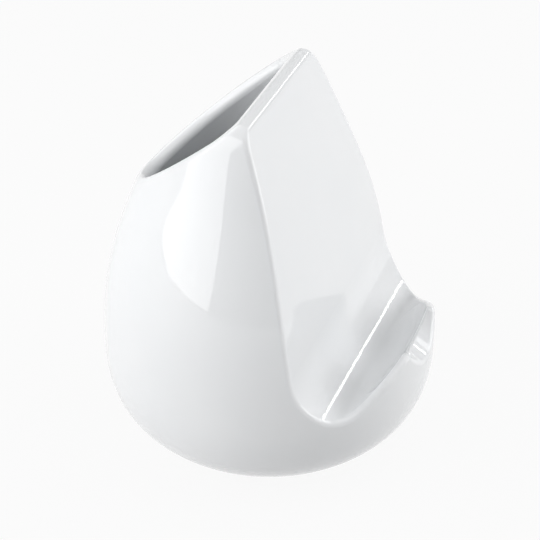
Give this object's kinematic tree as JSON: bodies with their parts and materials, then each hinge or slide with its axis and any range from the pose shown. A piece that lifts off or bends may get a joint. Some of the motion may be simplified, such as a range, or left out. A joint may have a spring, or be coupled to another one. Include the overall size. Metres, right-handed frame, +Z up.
{
  "type": "utensil holder",
  "caption": "Egg-shaped glazed ceramic utensil holder: slanted open mouth at the back, flat leaning rest with a ledge in front for a tablet or recipe book, cable scoop in the lip.",
  "frame": {"origin": "under the middle of the round body, on the surface that the holder stands on", "axes": "+Z up, -Y towards the user, who faces the leaning rest and its ledge, +Y towards the low back of the mouth, +X to the user's right"},
  "size_m": [0.15, 0.15, 0.178],
  "materials": {
    "glazed_ceramic": "glossy white glaze",
    "pad_rubber": "matt grey anti-slip rubber"
  },
  "bodies": {
    "root": {"ceramic_body": "glazed_ceramic", "foot_pad_rear_right": "pad_rubber", "foot_pad_rear_left": "pad_rubber", "foot_pad_front_left": "pad_rubber", "foot_pad_front_right": "pad_rubber"}
  },
  "joints": []
}
